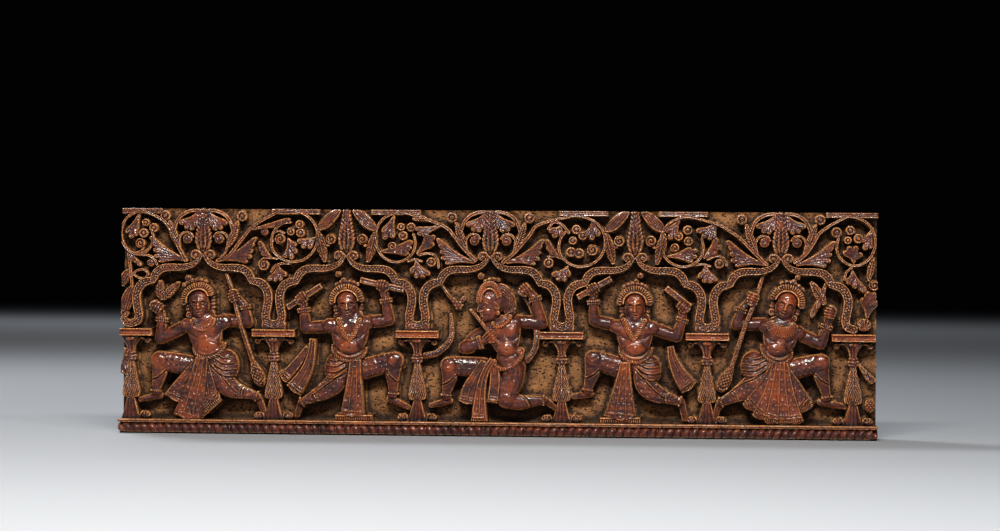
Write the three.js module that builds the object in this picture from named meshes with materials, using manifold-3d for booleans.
// A long hardwood relief panel, carved from one plank: five dancing figures under a row of cusped
// arches on short columns, with scrolling foliage above and a twisted rope moulding along the foot.
// Millimetres. X runs along the panel, Z is up, the carved face looks to -Y, and the origin is at
// the middle of the underside.
import * as THREE from "three";
import { mergeVertices } from "three/addons/utils/BufferGeometryUtils.js";
import Module from "manifold-3d";

const wasm = await Module();
wasm.setup();

// The plank: the board behind the carving, and the depth carved away in front of it
const BOARD_THICKNESS = 22;
const RELIEF_DEPTH = 28;

// Along the panel: the bays of the arcade, and what stands beyond the axes of the end columns
const BAYS = 5;
const BAY_PITCH = 128;
const LEFT_INSET = 9.1;
const RIGHT_INSET = 20.9;

// Up the panel, from the underside to the top edge
const RAIL_HEIGHT = 12.6;
const COLUMN_HEIGHT = 73.8;
const ABACUS_HEIGHT = 6.4;
const ARCH_STILT = 5.2;
const ARCH_RISE = 60.5;
const FRIEZE_HEIGHT = 41.5;

// The rope along the rail, under a thin fillet
const FILLET_HEIGHT = 2.4;
const ROPE_RADIUS = 4.6;
const ROPE_PITCH = 7.26;
const ROPE_LEAN = 1.6;
const ROPE_GROOVE = 0.9;

// The arcade and the foliage
const COLUMN_RADIUS = 7.2;
const ABACUS_WIDTH = 38;
const KNOB_RADIUS = 2.8;
const FOOT_KNOB_RADIUS = 3.8;
const ARCH_WIDTH = 7.4;
const CONE_RADIUS = 7;
const SCROLL_RADIUS = 21;
const SCROLL_WIDTH = 5.8;
const TOP_BAR_WIDTH = 3.6;

// How far each layer of the carving stays behind the front of the rail
const ROPE_SET_BACK = 0.3;
const FIGURE_SET_BACK = 1;
const ABACUS_SET_BACK = 4;
const ARCH_SET_BACK = 8;
const COLUMN_SET_BACK = 11;
const FOLIAGE_SET_BACK = 13;

// How far the carved bodies run back into the board, the sharpest mitre of a bent strand, and the
// cosine of the turn past which a limb is folded back on itself and carved as two strands
const ROOT = 2.5;
const MITRE_LIMIT = 0.75;
const FOLD_LIMIT = -0.6;

// What follows from the sizes above
const PANEL_LENGTH = LEFT_INSET + BAYS * BAY_PITCH + RIGHT_INSET;
const CAPITAL_TOP = RAIL_HEIGHT + COLUMN_HEIGHT;
const ABACUS_TOP = CAPITAL_TOP + ABACUS_HEIGHT;
const SPRING = ABACUS_TOP + ARCH_STILT;
const APEX = SPRING + ARCH_RISE;
const PANEL_HEIGHT = APEX + FRIEZE_HEIGHT;
const PANEL_DEPTH = BOARD_THICKNESS + RELIEF_DEPTH;
const LEFT_END = -PANEL_LENGTH / 2;
const RIGHT_END = PANEL_LENGTH / 2;
const GROUND_Y = RELIEF_DEPTH - PANEL_DEPTH / 2;
const FIGURE_DEPTH = RELIEF_DEPTH - FIGURE_SET_BACK;
const ABACUS_DEPTH = RELIEF_DEPTH - ABACUS_SET_BACK;
const ARCH_DEPTH = RELIEF_DEPTH - ARCH_SET_BACK;
const COLUMN_DEPTH = RELIEF_DEPTH - COLUMN_SET_BACK;
const FOLIAGE_DEPTH = RELIEF_DEPTH - FOLIAGE_SET_BACK;
const LEAF_DEPTH = FOLIAGE_DEPTH - 1;
const columnX = (index) => LEFT_END + LEFT_INSET + BAY_PITCH * index;
const bayX = (index) => columnX(index) + BAY_PITCH / 2;
const range = (count) => Array.from({ length: count }, (_, k) => k);
const polar = (angle, radius) => {
  const turn = THREE.MathUtils.degToRad(angle);
  return [radius * Math.cos(turn), radius * Math.sin(turn)];
};

// Turns a closed geometry into a solid, with its faces outwards.
function solid(geometry) {
  const bare = new THREE.BufferGeometry();
  bare.setAttribute("position", geometry.getAttribute("position"));
  bare.setIndex(geometry.index);
  const merged = mergeVertices(bare, 1e-4);
  const vertProperties = new Float32Array(merged.getAttribute("position").array);
  const triVerts = new Uint32Array(merged.index.array);
  if (signedVolume(vertProperties, triVerts) < 0) {
    triVerts.reverse();
  }
  return new wasm.Manifold(new wasm.Mesh({ numProp: 3, vertProperties, triVerts }));
}

// The sum over the triangles of the tetrahedra that they make with the origin.
function signedVolume(position, index) {
  const corner = (k) => new THREE.Vector3().fromArray(position, 3 * index[k]);
  let sum = 0;
  for (let k = 0; k < index.length; k += 3) {
    sum += corner(k).dot(corner(k + 1).cross(corner(k + 2))) / 6;
  }
  return sum;
}

// A closed body over a row of rings of equal length. Its first end is closed by a fan, and its last
// one too, over a point of its own where there is one.
function loft(rings, peak) {
  const count = rings[0].length;
  const last = (rings.length - 1) * count;
  const index = [];
  for (let i = 0; i + 1 < rings.length; i++) {
    for (let j = 0; j < count; j++) {
      const a = i * count + j;
      const b = i * count + ((j + 1) % count);
      index.push(a, b, b + count, a, b + count, a + count);
    }
  }
  for (let j = 1; j + 1 < count; j++) {
    index.push(0, j + 1, j);
    if (!peak) {
      index.push(last, last + j, last + j + 1);
    }
  }
  const points = rings.flat();
  if (peak) {
    points.push(peak);
    range(count).forEach((j) => index.push(last + j, last + ((j + 1) % count), last + count));
  }
  const geometry = new THREE.BufferGeometry().setFromPoints(points);
  geometry.setIndex(index);
  return solid(geometry);
}

// A point of the carving: along the panel, up, and forward of the ground.
const at = (x, z, forward) => new THREE.Vector3(x, GROUND_Y - forward, z);

// Cross-sections of a carved strand: shares across its half-width, and of its fall to the edge
const ROUND = [[-1, 1], [-0.5, 0.12], [0.5, 0.12], [1, 1]];
const RIDGE = [[-1, 1], [0, 0], [1, 1]];
const CHANNEL = [[-1, 0], [0, 1], [1, 0]];
const pleats = (count) => Array.from({ length: 2 * count + 1 }, (_, k) => [k / count - 1, k % 2 ? 0 : 1]);

// A strand standing on the ground along a path of stations [x, z, half-width, height, fall].
// Its sides run straight back into the board, so it has no undercut.
function strand(stations, section) {
  const rings = stations.map(([x, z, half, height, fall = half], i) => {
    const before = stations[Math.max(i - 1, 0)];
    const after = stations[Math.min(i + 1, stations.length - 1)];
    const into = new THREE.Vector2(x - before[0], z - before[1]).normalize();
    const out = new THREE.Vector2(after[0] - x, after[1] - z).normalize();
    const along = new THREE.Vector2().addVectors(into, out).normalize();
    const mitre = 1 / Math.max(Math.sqrt((1 + into.dot(out)) / 2), MITRE_LIMIT);
    const reach = i === 0 || i === stations.length - 1 ? half : half * mitre;
    const point = (across, forward) => at(
      x + along.y * reach * across,
      z - along.x * reach * across,
      forward,
    );
    const front = section.map(([across, share]) => point(across, height - share * fall));
    return [point(section[0][0], -ROOT), ...front, point(section.at(-1)[0], -ROOT)];
  });
  return loft(rings);
}

// A form raised from a flat outline: a wall to its brow, then a fan to a peak over its middle.
function raised(outline, brow, peak) {
  const middle = outline.reduce((sum, p) => sum.add(p), new THREE.Vector2()).divideScalar(outline.length);
  const ring = (forward) => outline.map((p) => at(p.x, p.y, forward));
  return loft([ring(-ROOT), ring(brow)], at(middle.x, middle.y, peak));
}

function polygon(x, z, radius, sides) {
  return range(sides).map((k) => {
    const [across, up] = polar((360 * (k + 0.5)) / sides, radius);
    return new THREE.Vector2(x + across, z + up);
  });
}

// Round bosses: a bead swells to its middle, and a volute is dished.
function bead(x, z, radius, height, sides = 5) {
  return raised(polygon(x, z, radius, sides), height - 0.6 * radius, height);
}

function volute(x, z, radius, height) {
  return raised(polygon(x, z, radius, 7), height, height - 0.4 * radius);
}

// A leaf from its base to its tip, widest before the middle and ridged over it.
function leaf(base, tip, half, height) {
  const from = new THREE.Vector2(...base);
  const along = new THREE.Vector2(...tip).sub(from);
  const across = new THREE.Vector2(along.y, -along.x).setLength(half);
  const belly = from.clone().addScaledVector(along, 0.42);
  const outline = [from, belly.clone().add(across), from.clone().add(along), belly.clone().sub(across)];
  return raised(outline, height - 0.6 * half, height);
}

function box(width, depth, height, x, y, z) {
  const geometry = new THREE.BoxGeometry(width, depth, height);
  geometry.translate(x, y, z);
  return solid(geometry);
}

// The board, and the rail that stands forward of it under a thin fillet.
function board() {
  const railDepth = RELIEF_DEPTH - ROPE_SET_BACK - ROPE_RADIUS;
  const lap = FILLET_HEIGHT / 2;
  const railTop = RAIL_HEIGHT - lap;
  const standing = (depth, low, high) => box(
    PANEL_LENGTH, depth + ROOT, high - low,
    0, GROUND_Y - (depth - ROOT) / 2, (low + high) / 2,
  );
  return [
    box(PANEL_LENGTH, BOARD_THICKNESS, PANEL_HEIGHT, 0, GROUND_Y + BOARD_THICKNESS / 2, PANEL_HEIGHT / 2),
    standing(railDepth, 0, railTop),
    standing(RELIEF_DEPTH, RAIL_HEIGHT - FILLET_HEIGHT, RAIL_HEIGHT),
  ];
}

// The rope: a bar whose radius dips between the twists. The twists lean outwards from the middle
// of the panel, as mirror images.
function rope() {
  const run = PANEL_LENGTH - 2 * ROPE_RADIUS;
  const count = Math.round(run / ROPE_PITCH);
  const middle = (RAIL_HEIGHT - FILLET_HEIGHT) / 2;
  const axis = RELIEF_DEPTH - ROPE_SET_BACK - ROPE_RADIUS;
  const rings = range(2 * count + 1).map((k) => {
    const x = (k * run) / (2 * count) - run / 2;
    const end = k === 0 || k === 2 * count;
    const radius = end ? ROPE_RADIUS / 2 : ROPE_RADIUS - (k % 2 ? 0 : ROPE_GROOVE);
    const lean = end ? 0 : Math.sign(k - count) * ROPE_LEAN;
    const arc = [-90, 0, 90].map((angle) => {
      const [out, up] = polar(angle, radius);
      return at(x + (lean * up) / radius, middle + up, axis + out);
    });
    return [...arc, at(x, middle, axis - ROOT)];
  });
  return loft(rings);
}

// A column in the half round: spreading foot, pinch, pear body, neck, ring and flared capital, as
// shares of its height, radius and depth. Knobs flank the foot and hang under the grooved abacus.
const SHAFT = [
  [0, 1.25, 1.05], [0.25, 0.5, 0.85], [0.33, 1, 1], [0.68, 0.35, 0.78], [0.74, 0.66, 0.9], [0.82, 0.45, 0.86],
  [1.01, 1.35, 1.15],
];
function column(index) {
  const x = columnX(index);
  const shaft = SHAFT.map(([up, wide, deep]) => [
    x, RAIL_HEIGHT - 0.5 + COLUMN_HEIGHT * up, COLUMN_RADIUS * wide, COLUMN_DEPTH * deep,
  ]);
  const middle = CAPITAL_TOP + ABACUS_HEIGHT / 2;
  const slab = [-1, 1].map((side) => {
    const end = Math.max(LEFT_END, Math.min(RIGHT_END, x + (side * ABACUS_WIDTH) / 2));
    return [end, middle, ABACUS_HEIGHT / 2, ABACUS_DEPTH, 0.8];
  });
  const parts = [strand(shaft, ROUND), strand(slab, CHANNEL)];
  for (const side of [-1, 1]) {
    const knobX = x + side * 0.38 * ABACUS_WIDTH;
    const footX = x + side * (COLUMN_RADIUS * 1.3 + FOOT_KNOB_RADIUS);
    if (Math.abs(knobX) < RIGHT_END - KNOB_RADIUS) {
      parts.push(bead(knobX, CAPITAL_TOP - KNOB_RADIUS - 0.2, KNOB_RADIUS, COLUMN_DEPTH, 4));
    }
    if (Math.abs(footX) < RIGHT_END - FOOT_KNOB_RADIUS) {
      parts.push(bead(footX, RAIL_HEIGHT + FOOT_KNOB_RADIUS - 0.4, FOOT_KNOB_RADIUS, 0.8 * COLUMN_DEPTH));
    }
  }
  return parts;
}

// An arch, as shares of the half pitch, of the rise and of the width: one strand runs from cusp to
// cusp over the pointed apex, and from each cusp a second lobe drops to the column and turns under
// it to meet its neighbour.
const POINT = [0, 0.98, 0.7];
const UPPER_LOBE = [[0.7, 0.59, 0.8], [0.66, 0.74, 1], [0.53, 0.815, 0.95], [0.2, 0.83, 0.8]];
const LOWER_LOBE = [
  [0.69, 0.58, 0.7], [0.83, 0.6, 0.95], [0.93, 0.48, 1], [0.89, 0.12, 1], [0.93, 0.03, 0.95], [1.01, 0, 0.9],
];
function arch(index) {
  const station = (side) => ([across, rise, width]) => [
    bayX(index) + (side * across * BAY_PITCH) / 2,
    SPRING + rise * ARCH_RISE,
    (width * ARCH_WIDTH) / 2,
    ARCH_DEPTH,
    0.9,
  ];
  const [left, right] = [-1, 1].map((side) => UPPER_LOBE.map(station(side)));
  const over = [...left, station(1)(POINT), ...right.reverse()];
  return [strand(over, CHANNEL), ...[-1, 1].map((side) => strand(LOWER_LOBE.map(station(side)), CHANNEL))];
}

// The scroll over a column: a stem climbs from the arch of the odd bay beside it and rolls up into a
// ring with a cluster of berries in it. The end scrolls are smaller and stand on their columns.
function scrollOf(index) {
  const from = index % 2 ? -1 : 1;
  if (index === 0) {
    return { from, x: columnX(index) + 0.26 * SCROLL_RADIUS, radius: 0.78 * SCROLL_RADIUS };
  }
  if (index === BAYS) {
    return { from, x: columnX(index) + 0.02 * SCROLL_RADIUS, radius: 0.84 * SCROLL_RADIUS };
  }
  return { from, x: columnX(index) - 0.82 * from * SCROLL_RADIUS, radius: SCROLL_RADIUS };
}

const STEM = [[-2.65, -1.02, 0.7], [-1.58, 0.28, 0.95], [-0.9, 0.82, 1]];
const BERRIES = [[-0.32, 0.34, 0.16], [-0.4, -0.05, 0.15], [0, 0.16, 0.15], [0.43, -0.4, 0.2]];
function scroll(index) {
  const { from, x, radius } = scrollOf(index);
  const middle = PANEL_HEIGHT - TOP_BAR_WIDTH - SCROLL_RADIUS - 1.4;
  const half = SCROLL_WIDTH / 2;
  const place = (across, up) => [x - from * across * radius, middle + up * radius];
  const stem = STEM.map(([across, up, width]) => [...place(across, up), half * width, FOLIAGE_DEPTH]);
  const turns = range(9).map((k) => {
    const curl = 1 - 0.09 * Math.max(k - 3, 0);
    return [...place(...polar(95 - 47 * k, curl)), half * (1 - 0.03 * k), FOLIAGE_DEPTH];
  });
  const berries = BERRIES.map(([across, up, size]) => (
    bead(...place(across, up), size * radius, FOLIAGE_DEPTH, 4)
  ));
  const ends = [-1, 1].map((side) => Math.max(LEFT_END, Math.min(RIGHT_END, x + side * radius)));
  const bar = ends.map((end) => [end, PANEL_HEIGHT - TOP_BAR_WIDTH / 2, TOP_BAR_WIDTH / 2, LEAF_DEPTH, 0.6]);
  return [
    strand([...stem, ...turns], RIDGE),
    strand(bar, CHANNEL),
    ...berries,
    leaf(place(0, -1), place(-0.33, -0.43), 0.17 * radius, LEAF_DEPTH),
    bead(...place(-1.33, -1.14), 0.19 * radius, FOLIAGE_DEPTH, 6),
  ];
}

// Between two arches: a leaf hanging over the teardrop gap
function hangingLeaf(index) {
  const place = (rise) => [columnX(index), SPRING + rise * ARCH_RISE];
  return leaf(place(0.84), place(0.6), 0.75 * ARCH_WIDTH, LEAF_DEPTH);
}

// Over the apex of each arch: a pine cone between two volutes, with leaves beside them that rise
// from the arch in the odd bays and hang from the top edge in the even ones. Places are shares of
// the frieze, up from the apex.
const CONE = [[0.06, 0.15, 0.8], [0.28, 1, 1.1], [0.54, 0.9, 1.1], [0.93, 0.15, 0.8]];
const TOP_LEAF = [[0.19, 0.88], [0.58, 0.69], 0.11];
const RISING_LEAF = [[0.58, -0.1], [0.82, 0.24], 0.11];
const HANGING_LEAVES = [[[0.39, 0.25], [0.58, -0.04], 0.1], [[0.72, 0.93], [0.58, 0.19], 0.09]];
function crest(index) {
  const place = (across, up) => [bayX(index) + across * FRIEZE_HEIGHT, APEX + up * FRIEZE_HEIGHT];
  const cone = CONE.map(([up, wide, deep]) => [...place(0, up), CONE_RADIUS * wide, FOLIAGE_DEPTH * deep]);
  const parts = [strand(cone, ROUND)];
  const leaves = [TOP_LEAF, ...(index % 2 ? HANGING_LEAVES : [RISING_LEAF])];
  for (const side of [-1, 1]) {
    parts.push(volute(...place(side * 0.34, 0.34), 0.15 * FRIEZE_HEIGHT, FOLIAGE_DEPTH));
    for (const [base, tip, half] of leaves) {
      const [from, to] = [base, tip].map(([across, up]) => place(side * across, up));
      parts.push(leaf(from, to, half * FRIEZE_HEIGHT, LEAF_DEPTH));
    }
  }
  return parts;
}

// The leaves, scrolls and bud that fill the two ends, in from the end and up from the springing.
const LEFT_LEAVES = [[[6, 26], [3, 6], 4.5], [[4, 32], [4, 48], 3.4], [[5, -24], [3, -40], 3]];
const RIGHT_LEAVES = [[[11, 28], [3, 12], 6], [[7, 46], [4, 32], 4], [[9, -24], [4, -46], 5]];
function ends() {
  const filling = (leaves, end, into) => leaves.map(([base, tip, half]) => leaf(
    [end + into * base[0], SPRING + base[1]],
    [end + into * tip[0], SPRING + tip[1]],
    half,
    FOLIAGE_DEPTH,
  ));
  return [
    ...filling(LEFT_LEAVES, LEFT_END, 1),
    ...filling(RIGHT_LEAVES, RIGHT_END, -1),
    volute(LEFT_END + 6, SPRING + 4, 4.5, FOLIAGE_DEPTH),
    volute(RIGHT_END - 12, SPRING + 2.5, 5.2, COLUMN_DEPTH),
    bead(RIGHT_END - 5, RAIL_HEIGHT + 18.5, 4.4, FOLIAGE_DEPTH),
  ];
}

// The figures are drawn in millimetres at this height between the rail and the arch crown and at
// this depth, and keep those proportions at any other.
const DRAWN_FLOOR = 12.6;
const DRAWN_CROWN = 147.5;
const DRAWN_DEPTH = 27;
const CROWN_SHARE = 0.82;
const FIGURE_SCALE = (SPRING + CROWN_SHARE * ARCH_RISE - RAIL_HEIGHT) / (DRAWN_CROWN - DRAWN_FLOOR);
const DEPTH_SCALE = FIGURE_DEPTH / DRAWN_DEPTH;
const figurePlace = (bay) => ([x, z, half, height, fall = half]) => [
  bayX(bay) + x * FIGURE_SCALE,
  RAIL_HEIGHT + (z - DRAWN_FLOOR) * FIGURE_SCALE,
  half * FIGURE_SCALE,
  height * DEPTH_SCALE,
  fall * FIGURE_SCALE,
];

// Poses, joint by joint, as [across from the middle of the bay, up]. A limb runs from its root to
// its end, a prop from one end to the other with its half-widths, and cloth from waist to hem with
// half-widths. The lean is how far the crown of the head stands aside of the face.
const DANCERS = [
  {
    head: [-3, 114.5], lean: -2.5, neck: [1.5, 101], chest: [3, 91], waist: [6.4, 77], hips: [5.5, 62],
    leftArm: [[-12, 96], [-37.9, 83], [-35.1, 102.5], [-41.7, 114]],
    rightArm: [[18, 101], [40.8, 99], [39, 117], [25.8, 124.2]],
    leftLeg: [[-6, 65], [-38.7, 71.6], [-41.3, 36], [-57, 29.5]],
    rightLeg: [[17, 65], [26.5, 44], [49, 33], [56.5, 17]],
    props: [[[20.6, 141, 1.8], [35.4, 95, 2], [45.2, 64, 2.6], [47, 59, 4.6], [50, 51, 4.2]]],
    cloth: [[1, 66, 6], [-9, 40, 13], [-10, 15, 15]],
    swags: [[[-4, 60, 4], [-14, 40, 7], [-27, 30.5, 8]], [[8, 58, 3], [12, 40, 6], [16, 24, 7]]],
  },
  {
    head: [1.8, 114.5], lean: -1, neck: [2.5, 101], chest: [2.5, 91], waist: [4, 76], hips: [3.5, 61],
    leftArm: [[-13, 97], [-35.7, 94], [-37.2, 111.6], [-39.6, 121.9]],
    rightArm: [[17, 100], [39.1, 102.5], [36.3, 121.7], [31.6, 134.7]],
    leftLeg: [[-7, 64], [-14, 44], [-39, 28.5], [-43.6, 15]],
    rightLeg: [[13.6, 64.2], [43.5, 71.6], [42.5, 34.3], [56, 25]],
    props: [[[-52.5, 112.5, 2.6], [-20.5, 132.5, 2.6]], [[13, 137, 2.4], [52, 128.6, 2.4]]],
    cloth: [[9, 66, 6], [7.5, 40, 10], [8.6, 13.4, 15]],
    swags: [[[-31, 88, 3], [-38, 64, 6], [-49, 43, 10]]],
  },
  {
    head: [0, 117], lean: 2, neck: [10, 103], chest: [12, 92], waist: [17, 76], hips: [14, 61],
    leftArm: [[1, 97], [-24.3, 77], [-9, 81.4], [2.4, 89]],
    rightArm: [[22, 102], [47.6, 100.5], [40, 126], [26.2, 134.8]],
    leftLeg: [[0, 66], [-35.5, 67.5], [-37.5, 34], [-52.4, 27]],
    rightLeg: [[20, 62], [14, 34], [40, 32], [58.3, 25.4]],
    props: [[[-17.5, 111, 1.8], [9.2, 81.5, 1.8]], [[-27.7, 116, 5.4], [-27.5, 121, 4]]],
    cloth: [[3, 66, 5], [-3, 42, 6.5], [-8, 14, 7.5]],
    swags: [
      [[-5, 56, 3], [-16, 40, 4.5], [-20, 30, 4.5]],
      [[30, 124, 2.6], [40.5, 104, 2.8], [40.5, 80, 2.8], [33, 67, 2.4]],
      [[-34.5, 108, 2.2], [-34, 90, 2.6], [-46, 74, 3.2], [-59, 70.5, 4]],
    ],
  },
  {
    head: [0.4, 115], lean: 1.5, neck: [0, 102], chest: [-0.5, 91.5], waist: [0.4, 77], hips: [0, 62],
    leftArm: [[-15, 98.5], [-35.7, 103.5], [-36.3, 119], [-37.4, 130.6]],
    rightArm: [[14, 96], [37.4, 89], [43, 103.6], [44.1, 117.2]],
    leftLeg: [[-9, 65], [-36.9, 73], [-41.4, 41], [-55, 36]],
    rightLeg: [[10, 64], [18, 44], [40, 34], [44.7, 14.5]],
    props: [[[-50.2, 123.8, 2.6], [-20, 141, 2.6]], [[27, 132.5, 2.6], [49.5, 115.4, 2.6]]],
    cloth: [[-7.5, 67, 5], [-9, 42, 9.5], [-12, 14.4, 16]],
    swags: [[[31, 82, 3], [38, 66, 6], [50, 47, 9]]],
  },
  {
    head: [4.5, 117.5], lean: 3.5, neck: [0.5, 102], chest: [-2, 92], waist: [-4.5, 78], hips: [-4, 63],
    leftArm: [[-13, 100], [-38, 100], [-33.6, 115.6], [-24.1, 127.6]],
    rightArm: [[14, 94], [35.8, 83.6], [40.9, 100], [44.2, 113.8]],
    leftLeg: [[-15, 65], [-29.5, 47], [-51.5, 32.5], [-56, 18]],
    rightLeg: [[7, 66], [36.5, 72], [41, 35.5], [58.5, 29.5]],
    props: [[[-14.7, 146, 1.8], [-32, 96, 2], [-42.8, 62, 2.6], [-44.5, 58, 4.4], [-48.5, 50, 4.2]]],
    cloth: [[-3, 68, 8], [-3, 42, 24], [-2, 17, 27]],
    swags: [],
  },
];

// The forms along a limb, the trunk and the head, as [half-width, height, fall].
const ARM_FORMS = [[5.6, 20], [5, 18], [3.2, 18], [4.6, 22]];
const LEG_FORMS = [[8.8, 23], [7.6, 25], [3.8, 17], [2, 11]];
const TRUNK_FORMS = [[8, 20, 5], [13.8, 24, 8], [9, 21, 7], [12.5, 22, 8]];
const HEAD_FORMS = [[3.6, 23], [8.6, 27, 7], [9, 26, 7], [4, 19, 4]];
const HEAD_RISE = [-12.5, -3, 8, 22];
const KNOT_RISE = 24.5;
const LEAN_SPAN = 14;
const BAND_FORM = [2.1, 25, 1.5];
const PROP_HEIGHT = 21;
const CLOTH_HEIGHT = 24;
const SWAG_HEIGHT = 15;

// A ring of half an ellipse about a middle, for the head band and the hoop of the belt.
function halfHoop([x, z], wide, tall, from, to) {
  return range(4).map((k) => {
    const [across, up] = polar(from + ((to - from) * k) / 3, 1);
    return [x + wide * across, z + tall * up, ...BAND_FORM];
  });
}

function dancer(bay) {
  const pose = DANCERS[bay % DANCERS.length];
  const place = figurePlace(bay);
  const body = (stations, section) => strand(stations.map(place), section);
  const [headX, headZ] = pose.head;
  const onHead = (up) => [headX + (pose.lean * up) / LEAN_SPAN, headZ + up];
  const formed = (joints, forms) => joints.map((joint, k) => [...joint, ...forms[k]]);
  const limb = (joints, forms, section) => {
    const [root, bend, end] = joints.map((joint) => new THREE.Vector2(...joint));
    const turn = bend.clone().sub(root).normalize().dot(end.sub(bend).normalize());
    const stations = formed(joints, forms);
    const strands = turn < FOLD_LIMIT ? [stations.slice(0, 2), stations.slice(1)] : [stations];
    return strands.map((path) => body(path, section));
  };
  const [knotX, knotZ, knotRadius, knotHeight] = place([...onHead(KNOT_RISE), 3, 18]);
  return [
    body(formed([pose.neck, pose.chest, pose.waist, pose.hips], TRUNK_FORMS), ROUND),
    body(formed(HEAD_RISE.map(onHead), HEAD_FORMS), RIDGE),
    body(halfHoop(onHead(4), 11.5, 10.5, 165, 15), RIDGE),
    bead(knotX, knotZ, knotRadius, knotHeight, 4),
    ...[pose.leftArm, pose.rightArm].flatMap((joints) => limb(joints, ARM_FORMS, RIDGE)),
    ...[pose.leftLeg, pose.rightLeg].flatMap((joints) => limb(joints, LEG_FORMS, ROUND)),
    body(halfHoop(pose.waist, 14, 9, 195, 345), RIDGE),
    body(pose.cloth.map((station) => [...station, CLOTH_HEIGHT, 2]), pleats(2)),
    ...pose.swags.map((swag) => body(swag.map((station) => [...station, SWAG_HEIGHT, 1.5]), pleats(1))),
    ...pose.props.map((prop) => body(prop.map((station) => [...station, PROP_HEIGHT]), RIDGE)),
  ];
}

const everyBay = range(BAYS);
const everyColumn = range(BAYS + 1);
const carving = [
  rope(),
  ...everyColumn.flatMap(column),
  ...everyBay.flatMap(arch),
  ...everyColumn.flatMap(scroll),
  ...everyColumn.slice(1, -1).map(hangingLeaf),
  ...everyBay.flatMap(crest),
  ...ends(),
  ...everyBay.flatMap(dancer),
];
const plank = board().reduce((whole, piece) => whole.add(piece));
const block = box(PANEL_LENGTH, PANEL_DEPTH, PANEL_HEIGHT, 0, 0, PANEL_HEIGHT / 2);
const panel = carving.reduce((whole, piece) => whole.add(piece), plank).intersect(block);

const mesh = panel.getMesh();
const surface = new THREE.BufferGeometry();
surface.setAttribute("position", new THREE.BufferAttribute(mesh.vertProperties, 3));
surface.setIndex(new THREE.BufferAttribute(mesh.triVerts, 1));
const hardwood = new THREE.MeshStandardMaterial({ color: 0x6b3420, roughness: 0.38, metalness: 0 });
const reliefPanel = new THREE.Mesh(surface, hardwood);
reliefPanel.name = "relief_panel";
const object = new THREE.Group();
object.add(reliefPanel);

export default object;
